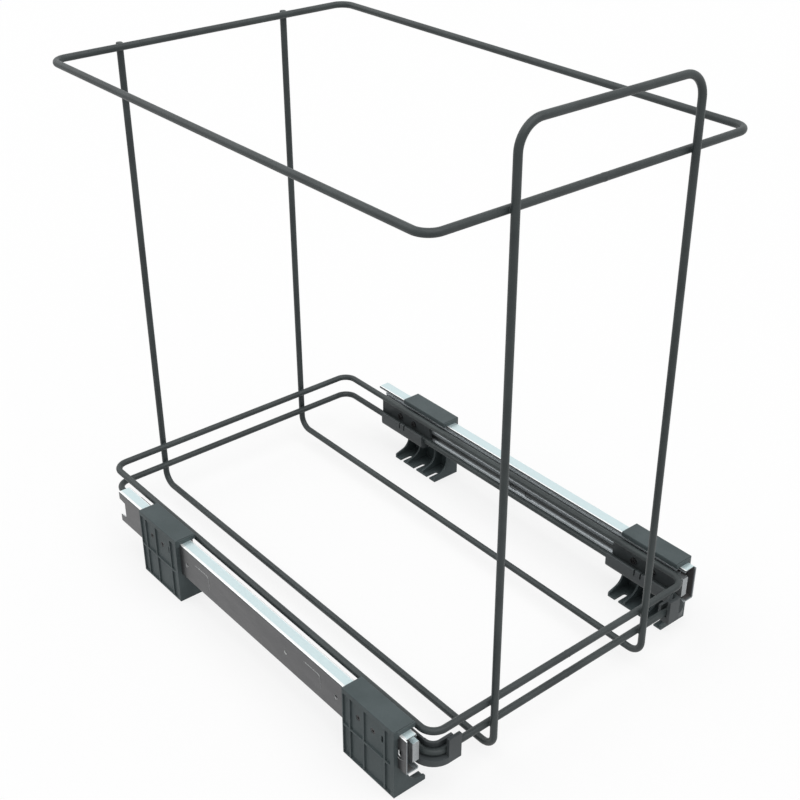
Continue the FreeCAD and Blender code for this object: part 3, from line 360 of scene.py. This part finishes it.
corners = []
for side in (-1, 1):
    stretch = [(side * upright_x, upright_rear(rear_top), rear_top),
               (side * upright_x, upright_rear(run_height), run_height),
               (side * upright_x, upright_front(run_height), run_height),
               (side * upright_x, upright_front(handle_height), handle_height)]
    corners += stretch if side == -1 else stretch[::-1]
bends = [None, FOOT_BEND, FOOT_BEND, HANDLE_BEND, HANDLE_BEND, FOOT_BEND, FOOT_BEND, None]
stations = rounded_route(corners, bends)

# The square cut: at both ends the radius draws in along a quarter circle, and a small flat closes it
quarter = np.linspace(0, math.pi / 2, 5)
draw_in = np.append(WIRE_RADIUS - CUT_ROUND * (1 - np.cos(quarter)), POLE_RADIUS)
depths = np.append(CUT_ROUND * (1 - np.sin(quarter)), 0.0)[:, None]
start_run = (stations[1] - stations[0]) / np.linalg.norm(stations[1] - stations[0])
end_run = (stations[-2] - stations[-1]) / np.linalg.norm(stations[-2] - stations[-1])
head = stations[0] + start_run * depths
tail = stations[-1] + end_run * depths
middle = stations[1:-1]
stations = np.concatenate([head[::-1], middle, tail])
ends = (len(depths), 1)
tangents = np.concatenate([np.tile(start_run, ends), along(middle, closed=False), np.tile(-end_run, ends)])
radii = np.concatenate([draw_in[::-1], np.full(len(middle), WIRE_RADIUS), draw_in])

# On the sides the section starts from the X axis, and round the handle from the axis across its plane
plane_axis = np.cross(np.subtract(corners[3], corners[2]), ALONG_X)
on_handle = (stations[:, 2:] > rim_height) & (stations[:, 1:2] < 0)
across = np.where(on_handle, np.cross(plane_axis, tangents), -np.sign(stations[:, :1]) * ALONG_X)
skin_points = tube(stations, tangents, across, radii)
faces = capped_faces(*skin_points.shape[:2])
handle_wire = piece("handle_wire", skin_points, faces, powder_coat, "basket")
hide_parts("handle_frame")


# Cross welds: the uprights are resistance welded to the rings, which squeezes a little metal out round
# the place where two wires touch. The coat runs over it, so it reads as a soft collar.

COLLAR_RADIUS = 0.0023
COLLAR_FLARE = 0.0006
COLLAR_SINK = 0.0001
COLLAR_SIDES = 28
COLLAR_ROWS = 9
END_SQUEEZE = [0.02, 0.6]


def weld_collars(apart):
    """Closed collars round the contact of a level wire and an upright one.

    At polar angle a and distance d from the contact, the level wire's skin is at
    -D/2 + sqrt(r^2 - (d sin a)^2) and the upright's at D/2 - sqrt(r^2 - (d cos a)^2), with D between
    their axes. The band goes from one to the other while d dips by a parabola to the collar's radius.
    Both ends run on inside the wires, almost to a point.
    """
    share = np.concatenate([[0.0, 0.0], np.linspace(0, 1, COLLAR_ROWS), [1.0, 1.0]])[:, None]
    squeeze = np.concatenate([END_SQUEEZE, np.ones(COLLAR_ROWS), END_SQUEEZE[::-1]])[:, None]
    angle = np.linspace(0, 2 * math.pi, COLLAR_SIDES, endpoint=False)[None, :]
    reach = (COLLAR_RADIUS + COLLAR_FLARE * (2 * share - 1) ** 2) * squeeze
    along_x = reach * np.cos(angle)
    along_z = reach * np.sin(angle)
    sunk = WIRE_RADIUS - COLLAR_SINK
    half = apart[:, None, None] / 2
    level = np.sqrt(sunk ** 2 - along_z ** 2) - half
    upright = half - np.sqrt(sunk ** 2 - along_x ** 2)
    depth = level * (1 - share) + upright * share
    return np.stack(np.broadcast_arrays(along_x, depth, along_z), -1)


centres = []
spacings = []
turns = []
for ring in RINGS:
    low, high = (np.array(corner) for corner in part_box(ring))
    height = low[2] + WIRE_RADIUS
    for wire_y, upright_y in ((low[1] + WIRE_RADIUS, upright_front(height)),
                              (high[1] - WIRE_RADIUS, upright_rear(height))):
        for side in (-1, 1):
            centres.append((side * upright_x, (wire_y + upright_y) / 2, height))
            spacings.append(abs(wire_y - upright_y))
            turns.append(np.sign(upright_y - wire_y))
collars = weld_collars(np.array(spacings))
collars[..., 1] *= np.array(turns)[:, None, None]
collars += np.array(centres)[:, None, None]
faces = []
rows = collars.shape[1]
for index, turn in enumerate(turns):
    collar = capped_faces(rows, COLLAR_SIDES, offset=index * rows * COLLAR_SIDES)
    faces += [face[::-1] for face in collar] if turn > 0 else collar
piece("weld_collars", collars, faces, powder_coat, "basket")


# Slides: three nested profiles a side, rolled from zinc plated strip, with ball cages between them.
# The flanges' tops carry a painted highlight and the outer webs a painted shade, with the rolls' fine lines.

# The flange colour is a painted highlight on the flange tops. The two web colours are painted shade on the
# outer webs.
FLANGE_HIGHLIGHT_COLOUR = (0.65, 0.78, 0.80, 1)
# The bright edge is a painted highlight, for the flanges' rounded edges and the pads' and holes' cut walls
PAINTED_HIGHLIGHT = (0.95, 0.97, 0.97, 1)
PAINTED_SHADE_WEB = (0.106, 0.106, 0.109, 1)
PAINTED_SHADE_WEB_STAIN = (0.087, 0.088, 0.091, 1)
INSIDE_COLOUR = (0.37, 0.40, 0.42, 1)
INSIDE_SHADE = (0.29, 0.32, 0.33, 1)
# Painted shade inside the fixed profile's channel, behind its front edge
INSIDE_PAINTED_SHADE = (0.20, 0.195, 0.195, 1)
# Painted shade on the moving web's lower bead and in the bend under the flange
BEAD_PAINTED_SHADE = (0.050, 0.056, 0.058, 1)

# Where one finish gives way to the next: the first place has none of it and the second has all of it.
# Heights are above the floor, reaches are from the middle plane, and depths are along the slide.
TOP_HEIGHT = (0.0654, 0.0658)
LEFT_HIGHLIGHT_PLACE = (-0.1698, -0.1704)
THIN_HIGHLIGHT_REACH = (0.1620, 0.1614)
WEB_REACH = (0.1722, 0.1725)
BEHIND_FRONT_DEPTH = (-0.2448, -0.2438)
INSIDE_SHADE_NEAR_REACH = (0.1640, 0.1643)
INSIDE_SHADE_FAR_REACH = (0.1720, 0.1718)
BEAD_LOW_HEIGHT = (0.0405, 0.0424)
BEAD_HIGH_HEIGHT = (0.0480, 0.0464)
BEAD_REACH = (0.1606, 0.1602)
LIP_HEIGHT = (0.0640, 0.0646)
LIP_REACH = (0.1618, 0.1616)
CUT_LOW_HEIGHT = (0.0375, 0.0385)
CUT_HIGH_HEIGHT = (0.0600, 0.0590)
CUT_REACH = (0.1716, 0.1717)
CUT_TURN = (0.85, 0.6)

# Rolled: fine lines along the strip, and slow stains of the plating bath
rolled, rolled_in, rolled_out = new_group(
    "rolled", [("Line Size", "NodeSocketFloat", 0.0002)], ["Lines", "Stain"])
line_place = stretched(rolled, (1, 0.02, 1))
lines_per_metre = maths(rolled, "DIVIDE", 1.0, rolled_in.outputs["Line Size"])
lines = noise(rolled, line_place, lines_per_metre, detail=3.0, roughness=0.7)
feed(rolled, rolled_out.inputs["Lines"], ramp(rolled, lines, low=0.3, high=0.7))
stains = noise(rolled, stretched(rolled, (1, 0.35, 1)), scale=60.0, detail=5.0, roughness=0.65)
feed(rolled, rolled_out.inputs["Stain"], ramp(rolled, stains, low=0.35, high=0.65))


def object_place(tree, axis):
    """One of the Object coordinates, such as the height."""
    place = tree.nodes.new("ShaderNodeTexCoord")
    split = tree.nodes.new("ShaderNodeSeparateXYZ")
    tree.links.new(place.outputs["Object"], split.inputs["Vector"])
    return split.outputs[axis]


def both(tree, first, second):
    """1 where both masks are 1."""
    return maths(tree, "MULTIPLY", first, second)


def either(tree, first, second):
    """1 where one mask is 1."""
    return maths(tree, "MAXIMUM", first, second)


zinc_strip, tree, surface = finish("zinc_strip", Metallic=0.55)
roll_marks = grouped(tree, rolled, Line_Size=0.00025)
place_x = object_place(tree, "X")
reach = maths(tree, "ABSOLUTE", place_x)
height = object_place(tree, "Z")

# Painted highlights on the flange's rounded edges: a wide band outside on the left slide, a thin one inside
# on both
highlight_bands = either(tree, ramp(tree, place_x, *LEFT_HIGHLIGHT_PLACE), ramp(tree, reach, *THIN_HIGHLIGHT_REACH))
flange_highlight_tone = blend_colours(tree, highlight_bands, FLANGE_HIGHLIGHT_COLOUR, PAINTED_HIGHLIGHT)
shaded_web_tone = blend_colours(tree, roll_marks["Stain"], PAINTED_SHADE_WEB_STAIN, PAINTED_SHADE_WEB)
inside_tone = blend_colours(tree, roll_marks["Stain"], INSIDE_SHADE, INSIDE_COLOUR)
# The outer web takes the painted shade
strip_tone = blend_colours(tree, ramp(tree, reach, *WEB_REACH), inside_tone, shaded_web_tone)

# Behind its front edge the fixed profile gets painted shade inside its channel. Painted shade also
# darkens the lower bead of the moving web and the bend under the flange.
behind_front = ramp(tree, object_place(tree, "Y"), *BEHIND_FRONT_DEPTH)
inside = both(tree, ramp(tree, reach, *INSIDE_SHADE_NEAR_REACH), ramp(tree, reach, *INSIDE_SHADE_FAR_REACH))
strip_tone = blend_colours(tree, both(tree, inside, behind_front), strip_tone, INSIDE_PAINTED_SHADE)
# Painted shade in the lower bead's groove and in the lip's bend
low_bead = both(tree, ramp(tree, height, *BEAD_LOW_HEIGHT), ramp(tree, height, *BEAD_HIGH_HEIGHT))
shaded_bead = both(tree, low_bead, ramp(tree, reach, *BEAD_REACH))
lip_bend = both(tree, ramp(tree, height, *LIP_HEIGHT), ramp(tree, reach, *LIP_REACH))
strip_tone = blend_colours(tree, either(tree, shaded_bead, lip_bend), strip_tone, BEAD_PAINTED_SHADE)

# In the fixed web the steps of the pressed pads and the cut walls of the holes get a painted highlight:
# the mask picks what faces away from X there
normal = tree.nodes.new("ShaderNodeNewGeometry").outputs["Normal"]
normal_parts = tree.nodes.new("ShaderNodeSeparateXYZ")
tree.links.new(normal, normal_parts.inputs["Vector"])
turned_away = ramp(tree, maths(tree, "ABSOLUTE", normal_parts.outputs["X"]), *CUT_TURN)
web_middle = both(tree, ramp(tree, height, *CUT_LOW_HEIGHT), ramp(tree, height, *CUT_HIGH_HEIGHT))
in_web = both(tree, ramp(tree, reach, *CUT_REACH), both(tree, web_middle, behind_front))
strip_tone = blend_colours(tree, both(tree, turned_away, in_web), strip_tone, PAINTED_HIGHLIGHT)
# The flange tops take the painted highlight
lit_top = ramp(tree, height, *TOP_HEIGHT)
feed(tree, surface["Base Color"], blend_colours(tree, lit_top, strip_tone, flange_highlight_tone))
feed(tree, surface["Roughness"], ramp(tree, roll_marks["Lines"], 0.0, 1.0, 0.28, 0.4))
feed(tree, surface["Normal"], bump(tree, roll_marks["Lines"], strength=0.35, distance=0.00002))

# The end blocks are zinc castings. The left one has a painted highlight on its top face.
CAST_DARK = (0.33, 0.35, 0.36, 1)
CAST_LIGHT = (0.42, 0.44, 0.45, 1)
CAST_RUBBED = (0.85, 0.86, 0.86, 1)
BLOCK_TOP_HIGHLIGHT = (0.60, 0.75, 0.78, 1)
LEFT_PLACE = (0.0001, 0.0)
BLOCK_TOP_HEIGHT = (0.0568, 0.0571)
cast_zinc, tree, surface, tone = skinned(
    "cast_zinc", (0.0003, 0.0012, 0.5), (CAST_DARK, CAST_LIGHT), (0.25, 0.4), (0.3, 0.00005), Metallic=0.55)
on_left = ramp(tree, object_place(tree, "X"), *LEFT_PLACE)
# Painted highlight on the left block's top face
lit_block_top = both(tree, on_left, ramp(tree, object_place(tree, "Z"), *BLOCK_TOP_HEIGHT))
tone = blend_colours(tree, lit_block_top, tone, BLOCK_TOP_HIGHLIGHT)
rub_edges(tree, surface, tone, CAST_RUBBED, width=0.0005, patchiness=0.3)

# The cages are thin plain strip, and the balls are polished and lightly greased
CAGE_DARK = (0.32, 0.32, 0.31, 1)
CAGE_LIGHT = (0.45, 0.45, 0.44, 1)
BALL_COLOUR = (0.72, 0.73, 0.74, 1)
BALL_GREASE = (0.50, 0.46, 0.38, 1)
cage_strip, tree, surface = finish("cage_strip", Metallic=1.0)
cage_marks = grouped(tree, rolled, Line_Size=0.0002)
feed(tree, surface["Base Color"], blend_colours(tree, cage_marks["Stain"], CAGE_DARK, CAGE_LIGHT))
feed(tree, surface["Roughness"], ramp(tree, cage_marks["Lines"], 0.0, 1.0, 0.3, 0.45))
feed(tree, surface["Normal"], bump(tree, cage_marks["Lines"], strength=0.3, distance=0.00002))

ball_steel, tree, surface = finish("ball_steel", Metallic=1.0)
grease = ramp(tree, noise(tree, stretched(tree, (1, 1, 1)), scale=900.0), low=0.35, high=0.65)
feed(tree, surface["Base Color"], blend_colours(tree, grease, BALL_COLOUR, BALL_GREASE))
feed(tree, surface["Roughness"], ramp(tree, grease, 0.0, 1.0, 0.08, 0.3))


def carry(node, material):
    """A node of the frame keeps its solid and gets this finish."""
    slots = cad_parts[node].data.materials
    slots.clear()
    slots.append(material)


for side in ("left", "right"):
    for profile in ("fixed_profile", "middle_profile", "moving_profile"):
        carry(f"{profile}_{side}", zinc_strip)
    carry(f"end_block_{side}", cast_zinc)
    for cage in ("outer_cage", "inner_cage"):
        carry(f"{cage}_{side}", cage_strip)
    for balls in ("outer_balls", "inner_balls"):
        carry(f"{balls}_{side}", ball_steel)


# Mounting brackets: four moulded feet of dark grey glass filled nylon, with a fine spark eroded texture.
# Each grips the slide between its cover and its seat, and is screwed to the cabinet floor.

BRACKET_DARK = (0.062, 0.080, 0.083, 1)
BRACKET_LIGHT = (0.080, 0.101, 0.105, 1)
BRACKET_RUBBED = (0.11, 0.13, 0.135, 1)

bracket_nylon, tree, surface, tone = skinned(
    "bracket_nylon", (0.0003, 0.0022, 0.35), (BRACKET_DARK, BRACKET_LIGHT), (0.46, 0.62), (0.6, 0.00008),
    Metallic=0.0, Specular_IOR_Level=0.25)
rub_edges(tree, surface, tone, BRACKET_RUBBED, width=0.0006, patchiness=0.6)

# The screws are black zinc, worn to the steel on the edges of their heads
SCREW_DARK = (0.03, 0.03, 0.032, 1)
SCREW_LIGHT = (0.05, 0.05, 0.052, 1)
SCREW_WORN = (0.25, 0.25, 0.25, 1)
black_screw, tree, surface, tone = skinned(
    "black_screw", (0.0002, 0.0008, 0.5), (SCREW_DARK, SCREW_LIGHT), (0.35, 0.5), (0.3, 0.00003),
    Metallic=0.7)
rub_edges(tree, surface, tone, SCREW_WORN, width=0.0003, patchiness=0.4)

for side in ("left", "right"):
    for end in ("front", "rear"):
        carry(f"{end}_bracket_{side}", bracket_nylon)
    carry(f"bracket_screws_{side}", black_screw)
    carry(f"carrier_screws_{side}", black_screw)


# Basket carriers: moulded channels of darker, smoother nylon, screwed to the moving profiles.
# The lower base ring snaps into them.

CARRIER_DARK = (0.052, 0.060, 0.063, 1)
CARRIER_LIGHT = (0.072, 0.082, 0.086, 1)
CARRIER_RUBBED = (0.09, 0.10, 0.105, 1)

carrier_nylon, tree, surface, tone = skinned(
    "carrier_nylon", (0.00025, 0.003, 0.4), (CARRIER_DARK, CARRIER_LIGHT), (0.4, 0.55), (0.5, 0.00006),
    Metallic=0.0, Specular_IOR_Level=0.3)
rub_edges(tree, surface, tone, CARRIER_RUBBED, width=0.0005, patchiness=0.6)
for side in ("left", "right"):
    for end in ("front", "rear"):
        carry(f"{end}_carrier_{side}", carrier_nylon)


# Studio: a white paper floor that keeps a soft shadow, a white surround, and two broad soft suns, the
# key light from the front and above and a weaker one from behind on the left.

FLOOR_HALF = 6.0
SHADOW_SHARE = 0.22
PAPER = (0.97, 0.97, 0.97, 1)
PAPER_BOUNCE = (0.42, 0.42, 0.42, 1)
SURROUND_LIGHT = 0.38

floor_mesh = bpy.data.meshes.new("paper_floor")
floor_corners = [(FLOOR_HALF * x, FLOOR_HALF * y, 0) for x, y in ((-1, -1), (1, -1), (1, 1), (-1, 1))]
floor_mesh.from_pydata(floor_corners, [], [(0, 1, 2, 3)])
paper_floor = bpy.data.objects.new("paper_floor", floor_mesh)
bpy.context.scene.collection.objects.link(paper_floor)


def seen_or_mirrored(tree):
    """1 for what the camera sees, straight, mirrored or through glass, and 0 for light on the object."""
    path = tree.nodes.new("ShaderNodeLightPath")
    mirrored = either(tree, path.outputs["Is Glossy Ray"], path.outputs["Is Transmission Ray"])
    return either(tree, path.outputs["Is Camera Ray"], mirrored)


white_paper, tree, surface = finish("white_paper", Roughness=0.9)
feed(tree, surface["Base Color"], blend_colours(tree, seen_or_mirrored(tree), PAPER_BOUNCE, PAPER))
bright = tree.nodes.new("ShaderNodeEmission")
mixed = tree.nodes.new("ShaderNodeMixShader")
feed(tree, mixed.inputs[0], maths(tree, "MULTIPLY", seen_or_mirrored(tree), 1 - SHADOW_SHARE))
tree.links.new(tree.nodes["Principled BSDF"].outputs[0], mixed.inputs[1])
tree.links.new(bright.outputs[0], mixed.inputs[2])
tree.links.new(mixed.outputs[0], tree.nodes["Material Output"].inputs["Surface"])
floor_mesh.materials.append(white_paper)

surround = bpy.data.worlds.new("surround")
bpy.context.scene.world = surround
surround.use_nodes = True
tree = surround.node_tree
background = tree.nodes["Background"]
background.inputs["Color"].default_value = (1, 1, 1, 1)
lift = maths(tree, "MULTIPLY", seen_or_mirrored(tree), 1 - SURROUND_LIGHT)
feed(tree, background.inputs["Strength"], maths(tree, "ADD", lift, SURROUND_LIGHT))

# Each sun's tilt from overhead, its turn and its spread are in degrees
SUNS = {"key_light": (26.0, 0.0, 70.0, 1.65), "back_light": (46.0, -151.0, 55.0, 0.66)}
for name, (tilt, turn, spread, strength) in SUNS.items():
    sun_data = bpy.data.lights.new(name, "SUN")
    sun_data.energy = strength
    sun_data.angle = math.radians(spread)
    sun = bpy.data.objects.new(name, sun_data)
    sun.rotation_euler = Euler((math.radians(tilt), 0, math.radians(turn)))
    bpy.context.scene.collection.objects.link(sun)

# The camera stands at the front left and looks down on the basket. Its angles are in degrees.
CAMERA_PLACE = (-0.6518, -0.8160, 0.8050)
CAMERA_DOWN = 30.239
CAMERA_TURN = -39.657
camera_data = bpy.data.cameras.new("camera")
camera_data.lens = 59.43
camera_data.sensor_width = 36
camera = bpy.data.objects.new("camera", camera_data)
camera.location = CAMERA_PLACE
camera.rotation_euler = Euler((math.radians(90 - CAMERA_DOWN), 0, math.radians(CAMERA_TURN)))
bpy.context.scene.collection.objects.link(camera)
bpy.context.scene.camera = camera
bpy.context.scene.view_settings.view_transform = "Standard"
